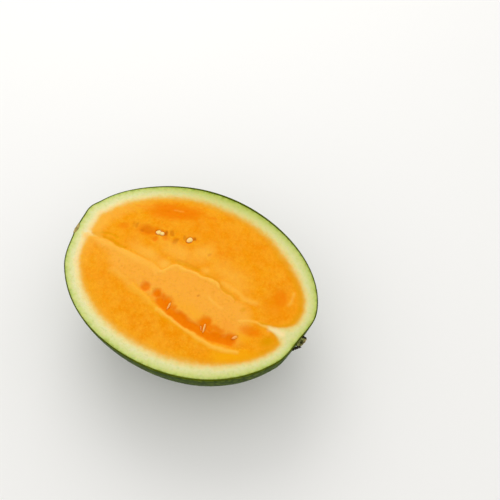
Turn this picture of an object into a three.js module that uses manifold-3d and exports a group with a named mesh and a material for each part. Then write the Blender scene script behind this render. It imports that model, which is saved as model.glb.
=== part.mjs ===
// Half of an oval watermelon, cut lengthwise with a knife and lying on its skin, cut face up.
// It is one solid: the fruit, the ridges and hollows of the cut face, the pale unripe seeds that
// show in it, and the dried stem stub on the skin.
// Sizes are in millimetres. +Z is up and +X runs along the fruit to its stem end. The origin is
// on the surface that the half rests on, below the middle of its box.

import * as THREE from 'three';
import { mergeVertices } from 'three/addons/utils/BufferGeometryUtils.js';
import Module from 'manifold-3d';

// The fruit: half its length and width at the cut, and its depth below the cut
const HALF_LENGTH = 128.2;
const HALF_WIDTH = 97.6;
const DEPTH = 98;

// How much of the round bottom is flattened where the half rests
const FOOT_CUT = 1.6;

// What makes the rim a little uneven: waves round it, the share each adds and its peak in degrees
const RIM_WAVES = [
  { count: 3, share: 0.0052, peak: 36 },
  { count: 4, share: 0.004, peak: 8 },
  { count: 5, share: 0.0045, peak: 21 },
  { count: 6, share: 0.0016, peak: 55 },
];

// The shallow dents round the stem and the blossom scar, then the bulges beside the scar, which
// have a depth below 0 and give the rim its corner there: middle, depth and reach
const DENTS = {
  stem: { middle: [127.6, -9.7, -12], depth: 5.2, reach: 34 },
  blossom: { middle: [-127.3, -11.6, 0], depth: 3.3, reach: 38.7 },
  scar: { middle: [-124.5, -8, 0], depth: -0.9, reach: 9 },
  corner: { middle: [-128.4, 23, 0], depth: -1.6, reach: 14 },
  shoulder: { middle: [-112, 45, 0], depth: -0.7, reach: 45 },
};

// The mesh: sectors round the fruit, rings of the cut face up to each share of the way to the
// rim, closest where the face has its ridges, and rings of the skin from the rim to the foot
const SECTORS = 112;
const FACE_RINGS = [
  { upTo: 0.16, rings: 3 },
  { upTo: 0.62, rings: 21 },
  { upTo: 1, rings: 6 },
];
const SKIN_RINGS = 14;

// Points of a mesh nearer together than this are one point
const MERGE_DISTANCE = 1e-4;

// The heart of the fruit stands a little above the flesh round it: its outline on the face, x to
// the stem and y across, its height, and the width over which its edge falls away
const HEART = {
  outline: [
    [-100, -6], [-57, -6], [-27, -8], [-15, 4], [20, 5], [36, 2], [63, -3], [75, -13],
    [79, -30], [74, -42], [47, -51], [4, -46], [-28, -37], [-68, -27], [-82, -16],
  ],
  height: 0.9,
  edge: 5,
};

// Ridges (height above 0) and hollows (below 0) of the face, each along a smooth line through
// its points, fading out at its reach to the +y side and to the -y side
const FACE_LINES = {
  crest: {
    height: 0.9, reach: [3, 4],
    line: [[-25, -9], [-21, -3], [-15, 4], [7, 5], [20, 6], [36, 2], [51, -1]],
  },
  foldAboveCrest: { height: -0.7, reach: [5, 3], line: [[-16, 8], [-7, 9.5], [6, 9.5]] },
  paleBand: { height: 0.6, reach: [3, 9], line: [[-112, -4], [-86, -4], [-54, -6], [-27, -8]] },
  splitRidge: { height: 0.5, reach: [3, 3], line: [[34, 6], [51, 6.5], [60, 3], [70, 3.4]] },
  blossomWedge: { height: -0.6, reach: [4, 4], line: [[-106, -2], [-88, 1], [-68, 1]] },
  seedChannel: { height: -1.6, reach: [7, 7], line: [[-14, -34], [0, -38], [17, -41], [45, -44], [66, -42]] },
  channelLip: {
    height: 0.9, reach: [4, 6],
    line: [[-44, -34], [-14, -45], [13, -50], [40, -52], [63, -51], [86, -43]],
  },
};

// Hollows where seeds sat: place, half length, half width, heading in degrees and height
const FACE_HOLLOWS = {
  firstPocket: { at: [-29.6, -28.6], size: [6.5, 6], heading: 0, height: -2.2 },
  secondPocket: { at: [-16, -30.5], size: [7, 6.5], heading: 30, height: -1.8 },
  thirdPocket: { at: [-3, -34.5], size: [9, 7], heading: -20, height: -1.4 },
  fourthPocket: { at: [17.6, -39], size: [12, 6.5], heading: -12, height: -1 },
  tallPocket: { at: [38.5, -37], size: [8, 10], heading: -10, height: -1.5 },
  fifthPocket: { at: [54, -42], size: [11, 8], heading: 0, height: -1.1 },
  lastPocket: { at: [66.5, -40], size: [9.5, 7.5], heading: 10, height: -1.5 },
  firstSeedBed: { at: [-48.6, 28.2], size: [6.8, 5.2], heading: 12, height: -1.2 },
  belowFirstSeed: { at: [-49, 20.5], size: [4.5, 3.6], heading: 60, height: -0.5 },
  secondSeedBed: { at: [-18.8, 35.1], size: [6, 5], heading: 60, height: -1.2 },
  slits: { at: [-33.5, 31], size: [7, 5], heading: -40, height: -0.6 },
  tornPatch: { at: [-61, 26], size: [14, 8], heading: 12, height: -0.4 },
  stemSide: { at: [89, 19], size: [14, 11], heading: 100, height: -0.7 },
};

// The share of a hollow's reach that is its flat floor, and the points taken along each line
const HOLLOW_FLOOR = 0.3;
const LINE_STEPS = 24;

// Seeds half sunk in the face: place, size along, across and up, heading in degrees, and how far
// the middle of the seed lies above the face beside it. Two lie flat, four stand on edge.
const SEEDS = [
  { at: [-48.6, 28.2], size: [8.4, 5.4, 2.6], heading: 12, lift: 0.5 },
  { at: [-18.8, 35.1], size: [6.8, 5.4, 2.6], heading: 60, lift: 0.5 },
  { at: [0.3, -35.9], size: [7.6, 2, 3.2], heading: 92, lift: 0.3 },
  { at: [40.7, -40.4], size: [9, 2, 3.4], heading: 104, lift: 0.4 },
  { at: [38.1, -41.7], size: [5.6, 1.4, 3], heading: 124, lift: 0.1 },
  { at: [70, -35.6], size: [5.8, 2.8, 3], heading: 49, lift: 0.4 },
];
const SEED_SIDES = 8;
const SEED_RINGS = 5;

// The stem stub, on the skin just under the rim: how far round from +X in degrees, how far below
// the cut, the outline of its oval core as radius and distance out from the skin, and how much
// flatter than wide the core is
const STEM_TURN = -5;
const STEM_DROP = 5;
const STEM_OUTLINE = [[0, -6], [5, -6], [4.9, 0.5], [4.2, 2.2], [4.7, 4.8], [3.6, 5.3], [0, 4.3]];
const STEM_FLATNESS = 0.78;
const STEM_SIDES = 14;

// Shrivelled lumps round the foot of the stub: place and half size out from the skin, sideways
// and up
const STEM_LUMPS = [
  { at: [3.2, 4.6, 0.8], half: [2.5, 1.7, 2.6] },
  { at: [2.8, -5.8, 0.2], half: [2.4, 1.9, 2.5] },
  { at: [1, -8.8, 0.2], half: [1.6, 3.2, 2] },
  { at: [0.6, 0, -4], half: [1.8, 4, 1.8] },
];
const LUMP_SIDES = 8;
const LUMP_RINGS = 6;

// Colour of the flesh, seen from above
const FLESH_COLOUR = 0xf79c24;

// 1 at share 0, fading smoothly to 0 at share 1 and beyond
function rounded(share) {
  return 0.5 * (1 + Math.cos(Math.PI * THREE.MathUtils.clamp(share, 0, 1)));
}

// The point of the skin at an angle round the fruit and an angle down from the cut
function skinPoint(turn, down) {
  let swell = Math.cos(down);
  for (const { count, share, peak } of RIM_WAVES) {
    swell += Math.cos(down) * share * Math.cos(count * (turn - THREE.MathUtils.degToRad(peak)));
  }
  const point = new THREE.Vector3(
    HALF_LENGTH * Math.cos(turn) * swell,
    HALF_WIDTH * Math.sin(turn) * swell,
    -DEPTH * Math.sin(down),
  );
  let pull = 0;
  for (const { middle, depth, reach } of Object.values(DENTS)) {
    pull += depth * rounded(point.distanceTo(new THREE.Vector3(...middle)) / reach);
  }
  const inward = 1 - pull / Math.hypot(point.x, point.y);
  return point.multiply(new THREE.Vector3(inward, inward, 1));
}

// A smooth row of points through the given ones
function smoothLine(line) {
  return new THREE.SplineCurve(line.map(([x, y]) => new THREE.Vector2(x, y))).getPoints(LINE_STEPS);
}

// How far a place on the face is from a row of points, and whether it lies on their +y side
function nearestOnLine(place, points) {
  let nearest = { distance: Infinity, above: false };
  for (let i = 1; i < points.length; i += 1) {
    const along = points[i].clone().sub(points[i - 1]);
    const share = place.clone().sub(points[i - 1]).dot(along) / along.lengthSq();
    const foot = points[i - 1].clone().addScaledVector(along, THREE.MathUtils.clamp(share, 0, 1));
    const distance = foot.distanceTo(place);
    if (distance < nearest.distance) {
      nearest = { distance, above: place.y > foot.y };
    }
  }
  return nearest;
}

// Whether a place lies inside a closed row of points
function isInside(place, points) {
  let inside = false;
  for (let i = 1; i < points.length; i += 1) {
    const [a, b] = [points[i - 1], points[i]];
    const spans = a.y > place.y !== b.y > place.y;
    if (spans && place.x < a.x + ((place.y - a.y) * (b.x - a.x)) / (b.y - a.y)) {
      inside = !inside;
    }
  }
  return inside;
}

const heartLine = smoothLine([...HEART.outline, HEART.outline[0]]);
const faceLines = Object.values(FACE_LINES).map((mark) => ({ ...mark, points: smoothLine(mark.line) }));

// How strong a mark is at a share of its reach: a ridge is rounded, a hollow has a flat floor
function markStrength(share, height) {
  const floor = height < 0 ? HOLLOW_FLOOR : 0;
  return rounded((share - floor) / (1 - floor));
}

// The height of the cut face at a place: heart, ridges and hollows added up
function faceHeight(place) {
  const { distance: toHeartLine } = nearestOnLine(place, heartLine);
  const inward = isInside(place, heartLine) ? toHeartLine : -toHeartLine;
  let height = HEART.height * (1 - rounded(0.5 + (0.5 * inward) / HEART.edge));
  for (const mark of faceLines) {
    const { distance, above } = nearestOnLine(place, mark.points);
    height += mark.height * markStrength(distance / mark.reach[above ? 0 : 1], mark.height);
  }
  for (const mark of Object.values(FACE_HOLLOWS)) {
    const away = place.clone().sub(new THREE.Vector2(...mark.at));
    away.rotateAround(new THREE.Vector2(), -THREE.MathUtils.degToRad(mark.heading));
    height += mark.height * markStrength(Math.hypot(away.x / mark.size[0], away.y / mark.size[1]), mark.height);
  }
  return height;
}

// Rings of points from the middle of the cut face out to the rim, then down the skin to the foot
function fruitRings() {
  const turns = Array.from({ length: SECTORS }, (_, sector) => (sector / SECTORS) * 2 * Math.PI);
  const rim = turns.map((turn) => skinPoint(turn, 0));
  const rings = [];
  let inner = 0;
  for (const { upTo, rings: count } of FACE_RINGS) {
    for (let i = 1; i <= count; i += 1) {
      const share = inner + ((upTo - inner) * i) / count;
      rings.push(rim.map((point) => {
        const place = new THREE.Vector2(point.x, point.y).multiplyScalar(share);
        return new THREE.Vector3(place.x, place.y, share < 1 ? faceHeight(place) : 0);
      }));
    }
    inner = upTo;
  }
  const footAngle = Math.asin(1 - FOOT_CUT / DEPTH);
  for (let i = 1; i <= SKIN_RINGS; i += 1) {
    rings.push(turns.map((turn) => skinPoint(turn, (footAngle * i) / SKIN_RINGS)));
  }
  return rings;
}

// The fruit as one closed surface: a point in the middle of the face, the rings, a point in the foot
function fruitGeometry() {
  const rings = fruitRings();
  const middle = new THREE.Vector3(0, 0, faceHeight(new THREE.Vector2(0, 0)));
  const foot = new THREE.Vector3(0, 0, rings.at(-1)[0].z);
  const points = [middle, ...rings.flat(), foot];
  const corner = (ring, sector) => 1 + ring * SECTORS + (sector % SECTORS);
  const faces = [];
  for (let sector = 0; sector < SECTORS; sector += 1) {
    faces.push(0, corner(0, sector), corner(0, sector + 1));
    for (let ring = 1; ring < rings.length; ring += 1) {
      const [a, b] = [corner(ring - 1, sector), corner(ring - 1, sector + 1)];
      const [c, d] = [corner(ring, sector), corner(ring, sector + 1)];
      faces.push(a, c, d, a, d, b);
    }
    faces.push(corner(rings.length - 1, sector), points.length - 1, corner(rings.length - 1, sector + 1));
  }
  const geometry = new THREE.BufferGeometry().setFromPoints(points);
  geometry.setIndex(faces);
  return geometry;
}

// One seed, a flattened ball turned to its heading and half sunk in the face
function seedGeometry({ at, size, heading, lift }) {
  const place = new THREE.Vector2(...at);
  const geometry = new THREE.SphereGeometry(0.5, SEED_SIDES, SEED_RINGS);
  geometry.rotateX(Math.PI / 2);
  geometry.scale(...size);
  geometry.rotateZ(THREE.MathUtils.degToRad(heading));
  geometry.translate(place.x, place.y, faceHeight(place) + lift);
  return geometry;
}

// The frame of the stem stub: out from the skin, sideways along the rim, and up
function stemFrame() {
  const foot = skinPoint(THREE.MathUtils.degToRad(STEM_TURN), Math.asin(STEM_DROP / DEPTH));
  const out = foot.clone().divide(new THREE.Vector3(HALF_LENGTH ** 2, HALF_WIDTH ** 2, DEPTH ** 2)).normalize();
  const side = new THREE.Vector3(0, 0, 1).cross(out).normalize();
  const up = out.clone().cross(side);
  return new THREE.Matrix4().makeBasis(out, side, up).setPosition(foot);
}

// The core of the stub and the lumps round its foot, all standing out of the skin
function stemGeometries() {
  const outline = STEM_OUTLINE.map(([radius, out]) => new THREE.Vector2(radius, out));
  const core = new THREE.LatheGeometry(outline, STEM_SIDES);
  core.rotateZ(-Math.PI / 2);
  core.scale(1, 1, STEM_FLATNESS);
  const lumps = STEM_LUMPS.map(({ at, half }) => {
    const lump = new THREE.SphereGeometry(1, LUMP_SIDES, LUMP_RINGS);
    lump.scale(...half);
    lump.translate(...at);
    return lump;
  });
  return [core, ...lumps].map((geometry) => geometry.applyMatrix4(stemFrame()));
}

const wasm = await Module();
wasm.setup();

// A closed geometry as a solid that can be joined to others
function toSolid(geometry) {
  const bare = geometry.clone();
  bare.deleteAttribute('normal');
  bare.deleteAttribute('uv');
  const merged = mergeVertices(bare, MERGE_DISTANCE);
  return new wasm.Manifold(new wasm.Mesh({
    numProp: 3,
    vertProperties: new Float32Array(merged.attributes.position.array),
    triVerts: new Uint32Array(merged.index.array),
  }));
}

// A solid back as a geometry
function toGeometry(solid) {
  const { vertProperties, triVerts } = solid.getMesh();
  const geometry = new THREE.BufferGeometry();
  geometry.setAttribute('position', new THREE.BufferAttribute(vertProperties, 3));
  geometry.setIndex(new THREE.BufferAttribute(triVerts, 1));
  return geometry;
}

// Everything joined into one solid, moved to stand on the origin
function watermelonHalf() {
  let solid = toSolid(fruitGeometry());
  for (const piece of [...SEEDS.map(seedGeometry), ...stemGeometries()]) {
    solid = solid.add(toSolid(piece));
  }
  const geometry = toGeometry(solid);
  geometry.computeBoundingBox();
  const middle = geometry.boundingBox.getCenter(new THREE.Vector3());
  geometry.translate(-middle.x, -middle.y, -geometry.boundingBox.min.z);
  geometry.computeVertexNormals();
  const flesh = new THREE.MeshStandardMaterial({ color: FLESH_COLOUR, roughness: 0.4, metalness: 0 });
  const mesh = new THREE.Mesh(geometry, flesh);
  mesh.name = 'watermelon_half';
  return mesh;
}

const model = new THREE.Group();
model.add(watermelonHalf());

export default model;
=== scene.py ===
# %% [markdown]
# # Half a watermelon, cut face up
#
# The real object is an oval watermelon with orange flesh, cut lengthwise with a knife and left lying
# on its skin. To the eye it is made of a few things: the moist cut face with its pale rind, the thin
# dark skin, the soft unripe seeds that the knife laid open, the dried stub of the stem and the corky
# scar where the blossom sat. Each is a mesh of its own here, because each has a surface of its own,
# and together they stand in for the one CAD solid.

# %% Load the frame
import math
import bpy
import numpy as np
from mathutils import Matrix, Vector, noise


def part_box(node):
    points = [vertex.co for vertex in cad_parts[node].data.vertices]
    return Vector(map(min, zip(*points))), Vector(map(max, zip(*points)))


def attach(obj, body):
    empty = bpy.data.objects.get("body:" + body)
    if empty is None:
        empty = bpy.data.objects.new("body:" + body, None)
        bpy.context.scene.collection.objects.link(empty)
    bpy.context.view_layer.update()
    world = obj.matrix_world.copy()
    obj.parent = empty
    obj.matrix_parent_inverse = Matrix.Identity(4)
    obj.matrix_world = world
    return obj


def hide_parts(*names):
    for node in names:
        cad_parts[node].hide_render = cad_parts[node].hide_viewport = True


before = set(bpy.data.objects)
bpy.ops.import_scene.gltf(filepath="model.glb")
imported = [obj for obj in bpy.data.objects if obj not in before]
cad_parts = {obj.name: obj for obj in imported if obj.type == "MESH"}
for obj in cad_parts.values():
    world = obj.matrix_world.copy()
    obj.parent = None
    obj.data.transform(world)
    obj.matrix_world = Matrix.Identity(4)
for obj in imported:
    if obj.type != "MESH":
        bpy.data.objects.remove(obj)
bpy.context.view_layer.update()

# %% [markdown]
# ## The size of the fruit
#
# Everything is worked out in millimetres on the cut face: x towards the stem end, y across it, and z
# up from it. The driving sizes are those of the CAD model, and the box of its solid then says where
# the middle of the face lies. Blender counts in metres, so points are turned into metres where a mesh
# is made, and the sizes of patterns where a material is.

# %% The driving sizes, in mm
MM = 0.001
NODE = "watermelon_half"
HALF_LENGTH = 128.2
HALF_WIDTH = 97.6
DEPTH = 98.0
FOOT_CUT = 1.6
# Waves that make the rim uneven: how many go round, the share each adds, its peak in degrees
RIM_WAVES = [(3, 0.0052, 36), (4, 0.0040, 8), (5, 0.0045, 21), (6, 0.0016, 55)]
# Dents round stem and blossom, then bulges beside the blossom (below 0): middle, how deep, how far
DENTS = [
    ((127.6, -9.7, -12), 5.2, 34), ((-127.3, -11.6, 0), 3.3, 38.7),
    ((-124.5, -8, 0), -0.9, 9), ((-128.4, 23, 0), -1.6, 14), ((-112, 45, 0), -0.7, 45),
]
CAD_SECTORS = 112
CAD_SKIN_RINGS = 14
FOOT_ANGLE = math.asin(1 - FOOT_CUT / DEPTH)


def turns_round(count):
    """Angles of so many sectors round the fruit."""
    return np.arange(count) * 2 * math.pi / count


def rounded(share):
    """1 at share 0, fading smoothly to 0 at share 1 and beyond."""
    return 0.5 * (1 + np.cos(np.pi * np.clip(share, 0, 1)))


def fruit_surface(turns, drops):
    """Rings of points of the outside of the fruit, at angles round it and angles down from the cut."""
    swell = 1 + sum(share * np.cos(waves * (turns - math.radians(peak))) for waves, share, peak in RIM_WAVES)
    outline = np.stack([HALF_LENGTH * np.cos(turns) * swell, HALF_WIDTH * np.sin(turns) * swell], axis=-1)
    height = np.broadcast_to(-DEPTH * np.sin(drops)[:, None, None], (len(drops), len(turns), 1))
    points = np.concatenate([np.cos(drops)[:, None, None] * outline, height], axis=2)
    pull = sum(
        depth * rounded(np.linalg.norm(points - middle, axis=2) / reach)
        for middle, depth, reach in DENTS
    )
    points[..., :2] *= (1 - pull / np.hypot(points[..., 0], points[..., 1]))[..., None]
    return points


node_low, node_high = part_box(NODE)
cad_drops = np.linspace(0, FOOT_ANGLE, CAD_SKIN_RINGS + 1)
cad_skin = fruit_surface(turns_round(CAD_SECTORS), cad_drops).reshape(-1, 3)
FACE_MIDDLE = np.array([
    node_low.x / MM - cad_skin[:, 0].min(),
    node_low.y / MM - cad_skin[:, 1].min(),
    node_low.z / MM + DEPTH - FOOT_CUT,
])
TOP_LIMIT = node_high.z / MM - FACE_MIDDLE[2]
print("middle of the cut face in mm:", FACE_MIDDLE.round(2), "highest point:", round(TOP_LIMIT, 2))

# %% [markdown]
# ## One way to make every mesh
#
# Face, skin, seeds and stub are all rings of points, one inside or above the next. They could be made
# with a screw modifier or with bmesh operators, but a plain stack of rings gives even quads, and numpy
# moves tens of thousands of its points at once. A part is such a stack, closed at both ends by a
# middle point, and a piece is one part or several in one mesh. Unevenness is smooth noise with a height
# and a size, and a pattern number picks one noise out of many, so each run gives the same shapes.

# %% Rings to closed parts, parts to pieces
# The tips of a ball turned round the x axis
TIPS = np.array([[-1, 0, 0], [1, 0, 0]])


def closed_part(rings, start, end):
    """Points and faces of a closed surface from rings of points and a middle point at each end."""
    count, sectors, _ = rings.shape
    ring, sector = np.meshgrid(np.arange(count - 1), np.arange(sectors), indexing="ij")
    near, far = ring * sectors + sector, ring * sectors + (sector + 1) % sectors
    quads = np.stack([near, near + sectors, far + sectors, far], axis=-1).reshape(-1, 4).tolist()
    edge = list(zip(range(sectors), [*range(1, sectors), 0]))
    last = (count - 1) * sectors
    start_fan = [(count * sectors, a, b) for a, b in edge]
    end_fan = [(last + a, count * sectors + 1, last + b) for a, b in edge]
    return np.concatenate([rings.reshape(-1, 3), [start], [end]]), quads + start_fan + end_fan


def lathed(along, girth, sectors):
    """Rings round the x axis: how far along it each ring lies, and its half width."""
    turns = turns_round(sectors)
    return np.stack([
        np.broadcast_to(along[:, None], (len(along), sectors)),
        girth[:, None] * np.cos(turns),
        girth[:, None] * np.sin(turns),
    ], axis=-1)


def placed_part(rings, tips, directions, foot):
    """A closed part from rings and its two tips, turned to three directions and moved to a foot."""
    start, end = tips @ directions + foot
    return closed_part(rings @ directions + foot, start, end)


def make_piece(name, parts):
    """One smooth mesh object from closed parts measured in mm from the middle of the cut face."""
    points, faces, shift = [], [], 0
    for part_points, part_faces in parts:
        points.append(part_points)
        faces += [tuple(corner + shift for corner in face) for face in part_faces]
        shift += len(part_points)
    mesh = bpy.data.meshes.new(name)
    mesh.from_pydata((np.concatenate(points) + FACE_MIDDLE) * MM, [], faces)
    mesh.polygons.foreach_set("use_smooth", np.ones(len(faces), bool))
    mesh.update()
    piece = bpy.data.objects.new(name, mesh)
    bpy.context.scene.collection.objects.link(piece)
    print(name, "has", len(faces), "faces")
    return piece


def paint(piece, name, values, rest=0.0):
    """Stores a number at each vertex for the material to read; vertices left over get the rest value."""
    stored = np.full(len(piece.data.vertices), rest, np.float32)
    stored[:len(values)] = values
    piece.data.attributes.new(name, "FLOAT", "POINT").data.foreach_set("value", stored)


def stand_in(piece, material):
    """The piece takes its material, rides with the fruit and stands for the CAD solid."""
    piece.data.materials.append(material)
    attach(piece, "root")
    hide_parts(NODE)


def grain(points, height, size, pattern):
    """Smooth ups and downs of about this height at the points, in grains of this size in mm."""
    places = np.zeros((len(points), 3))
    places[:, :np.shape(points)[1]] = np.asarray(points) / size
    return height * np.array([noise.noise((x, y, z + pattern)) for x, y, z in places.tolist()])


# %% [markdown]
# ## Small helpers for materials
#
# Every material is procedural. Colours are written as the hex values that one would pick in a paint
# program, and one function turns them into the linear values that a shader works with. A colour is
# then built up like glazes of paint: each layer moves it towards a tint, in spots of noise, along a
# net of cell edges, or where a number stored at the vertices says so.

# %% Colours and nodes


def linear(hex_colour):
    """An sRGB hex colour as linear red, green, blue and alpha."""
    parts = [int(hex_colour[i:i + 2], 16) / 255 for i in (1, 3, 5)]
    return [c / 12.92 if c <= 0.04045 else ((c + 0.055) / 1.055) ** 2.4 for c in parts] + [1.0]


def add(tree, kind, inputs=None, **settings):
    """Adds a node with its settings. Each input is a value, or a node or an output to link from."""
    node = tree.nodes.new("ShaderNode" + kind)
    for key, value in settings.items():
        setattr(node, key, value)
    for key, value in (inputs or {}).items():
        if isinstance(value, bpy.types.Node):
            value = value.outputs[0]
        if isinstance(value, bpy.types.NodeSocket):
            tree.links.new(value, node.inputs[key])
        else:
            node.inputs[key].default_value = value
    return node


def new_material(name):
    """An empty material, its node tree, and the place on the piece that its patterns are laid out by."""
    material = bpy.data.materials.new(name)
    material.use_nodes = True
    material.node_tree.nodes.clear()
    return material, material.node_tree, add(material.node_tree, "TexCoord").outputs["Object"]


# %% Layers of colour


def spots(tree, colour, place, tint, size, shows, share=1.0, where=1.0):
    """Noise of this size in mm tints the colour, where it runs between the two values shown."""
    grains = add(tree, "TexNoise", {"Vector": place, "Scale": 1 / (size * MM), "Detail": 3.0})
    amount = add(tree, "MapRange", {
        "Value": grains, "From Min": shows[0], "From Max": shows[1], "To Max": share,
    })
    amount = add(tree, "Math", {0: amount, 1: where}, operation="MULTIPLY")
    return add(tree, "Mix", {0: amount, 6: colour, 7: linear(tint)}, data_type="RGBA").outputs[2]


def net(tree, colour, place, tint, size, width, share):
    """The edges of cells of this size in mm, a share of the size wide, tint the colour."""
    cells = {"Vector": place, "Scale": 1 / (size * MM)}
    edges = add(tree, "TexVoronoi", cells, feature="DISTANCE_TO_EDGE")
    amount = add(tree, "MapRange", {
        "Value": edges, "From Max": width, "To Min": share, "To Max": 0.0,
    }, interpolation_type="SMOOTHSTEP")
    return add(tree, "Mix", {0: amount, 6: colour, 7: linear(tint)}, data_type="RGBA").outputs[2]


def dyed(tree, colour, painted, tint, share=1.0):
    """The number painted on the vertices tints the colour."""
    amount = add(tree, "Attribute", attribute_name=painted).outputs["Fac"]
    amount = add(tree, "Math", {0: amount, 1: share}, operation="MULTIPLY")
    return add(tree, "Mix", {0: amount, 6: colour, 7: linear(tint)}, data_type="RGBA").outputs[2]


# %% [markdown]
# ## Ridges and hollows of the cut face
#
# A knife doesn't leave watermelon flat. The heart tears along the rows of seeds, so a scalloped
# channel with a raised lip runs along one side of it, and a low crest runs along the other. They could
# be sculpted by hand, but then nothing could be repeated. Here each is a smooth line or an oval spot
# with a height and a reach, and the same marks tint the flesh later: torn flesh shows a deeper orange,
# fibres show paler, and flesh close under the rind is more golden. Some tints are painted light: a
# painted highlight on the lit side of crest and lip, and painted shade in the fold above the crest,
# along the knife steps, in the slits and round the seeds.

# %% Lines on the face
# Points in mm, height (below 0 a hollow), reach to the +y and to the -y side, tint and its share
FACE_LINES = {
    "pale band": ([(-112, -5.5), (-86, -5.5), (-70, -6), (-54, -6), (-39, -6), (-27, -8)],
                  0.6, 3.6, 9, "pale", 0.55),
    # Crest and its tail: pale fibres, and a painted highlight on the slope that faces the lamp
    "crest": ([(-25, -9), (-21, -3), (-15, 4), (-4, 4), (7, 5), (20, 6), (28, 4), (33, 2.8)],
              0.9, 2.4, 4, "pale", 0.75),
    "crest tail": ([(31, 3.2), (42, 0.2), (51, -2.5)], 0.5, 1.8, 3, "pale", 0.3),
    # Painted shade, golden, in the fold above the crest and in the hollow line past it
    "fold above crest": ([(-16, 8), (-7, 9.5), (6, 9.5)], -0.7, 3.5, 3, "gold", 0.55),
    "gold line": ([(16, 8.6), (24, 7), (34, 4), (46, 1), (53, -1)], -0.4, 2.6, 2, "gold", 0.5),
    "split ridge": ([(34, 8), (51, 7), (60, 4), (72, 3)], 0.3, 5.5, 4.6, "pale", 0.5),
    "heart streak": ([(29, -10.5), (37, -13), (46, -15.5)], 0.2, 2.6, 3.2, "pale", 0.4),
    "pith cream": ([(107, -12.4), (101, -12), (94, -12.2)], 0, 5, 4.2, "cream", 0.75),
    "pith thread": ([(92, -12), (84, -13), (76, -14), (66, -19)], 0.3, 2.4, 2.6, "pale", 0.6),
    "channel": ([(-10, -35), (2, -39.2), (17, -42.6), (45, -45.4), (67, -42)], -1.5, 7, 6.4, "deep", 1),
    "lip start": ([(-68, -27), (-52, -31), (-40, -34.6), (-28, -37.5), (-18, -40.8)],
                  0.4, 4, 7, "pale", 0.35),
    "lip": ([(-40, -34.6), (-28, -37.5), (-14, -42), (-1, -44.8), (13, -47.2), (40, -51.6),
             (63, -51.6), (76, -47.6), (86, -43)], 0.5, 4, 7, "amber", 0.6),
    # The crest of the lip: pale, partly a painted highlight along its lit top
    "lip crest start": ([(-40, -34.6), (-28, -37.5), (-14, -42), (-1, -44.8), (8, -46.2)],
                        0.3, 3.6, 4.2, "pale", 0.22),
    "lip crest": ([(-8, -43.5), (-1, -44.8), (13, -47.2), (28, -50.2), (51, -52.4), (63, -51.6), (78, -47)],
                  0.4, 3, 3.6, "pale", 0.68),
    # Painted shade, golden, along two knife steps at the blossom end
    "blossom wedge": ([(-106, -4), (-91, -2), (-77.5, -2.4), (-71, -2.6)], -0.5, 3, 1.5, "gold", 0.6),
    "wedge line": ([(-108, -2.5), (-94.7, 2.8), (-82.8, 4.9)], -0.3, 2.2, 1.6, "gold", 0.65),
    "upper streak": ([(-87, 45), (-65, 55), (-42, 66)], -0.1, 2.4, 2.4, "deep", 0.4),
    "knife streak": ([(-67, 47), (-55, 52), (-41, 58)], -0.2, 3, 3, "deep", 0.5),
    "right streak": ([(-45, 61), (-28, 65), (-8, 68)], -0.1, 2.6, 3, "deep", 0.45),
    "pale streak": ([(-49.5, 58.6), (-45.5, 60.1), (-41.5, 61.3)], 0.1, 1.6, 1.6, "pale", 0.3),
    # Painted highlight on the lit edge of the blob beside the stem
    "comma": ([(98, 29.5), (99.5, 27), (100, 23.6), (99.8, 20.5), (98.8, 18)], 0.4, 2.4, 3, "pale", 0.42),
}

# %% Spots on the face
# Each spot: place, half length and half width in mm, heading in degrees, height, share of its tint
FACE_SPOTS = {}
# Torn and sunken flesh, deeper orange
FACE_SPOTS["deep"] = {
    "first pocket": (-29.6, -28.6, 7, 6.5, 0, -2.2, 0.85),
    "second pocket": (-16, -30.5, 7, 6.5, 30, -1.8, 1),
    "third pocket": (-2.4, -33.6, 10, 7.6, -20, -1.4, 1),
    "above third pocket": (-7.5, -30.5, 6, 4.5, -30, -0.6, 0.75),
    "before third pocket": (-11, -32.5, 5.5, 5, 0, -0.8, 0.8),
    "beside third pocket": (5, -34.4, 5, 4.6, -10, -0.4, 0.8),
    "fourth pocket": (17.6, -40, 14, 6.5, -12, -1, 1),
    "tall pocket": (38.8, -36.6, 9, 11, -10, -1.5, 1),
    "beside tall pocket": (45.2, -38, 6, 6.5, -10, -0.6, 0.95),
    "fifth pocket": (54, -41.2, 12, 9.2, 0, -1.1, 1),
    "above fifth pocket": (51.5, -35.4, 11, 5, 0, -0.4, 0.85),
    "last pocket": (66.5, -38.8, 9.5, 7.2, 10, -1.5, 1),
    "first seed bed": (-48.6, 28.2, 6.8, 5.2, 12, -1.2, 0.5),
    "below first seed": (-49, 20.5, 4.5, 3.6, 60, -0.5, 0.9),
    "beside first seed": (-41, 26.5, 5, 4.5, 0, -0.4, 0.8),
    "second seed bed": (-18.8, 35.1, 6, 5, 60, -1.2, 0.4),
    "torn glow": (-60, 25.5, 18, 10, 10, 0, 0.85),
    "faint patch": (-85, 18.5, 9, 6, 28, -0.2, 0.6),
    "right speck": (17.7, 35.4, 4.5, 3, 40, -0.2, 0.4),
    "upper deep zone": (-46, 57, 42, 13.5, 20, -0.2, 0.9),
    "upper right glow": (34, 46, 52, 30, -12, 0, 0.14),
    "upper glow": (-10, 56, 50, 20, 0, 0, 0.3),
    "stem side blob": (89, 19, 14, 11, 100, -0.7, 0.75),
    "stem side glow": (90, 11, 22, 26, 0, 0, 0.5),
    "under the pith": (80, -24, 15, 8, 12, -0.4, 0.7),
    "dull heart end": (58, -32, 20, 12, -10, 0, 0.2),
}
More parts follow.
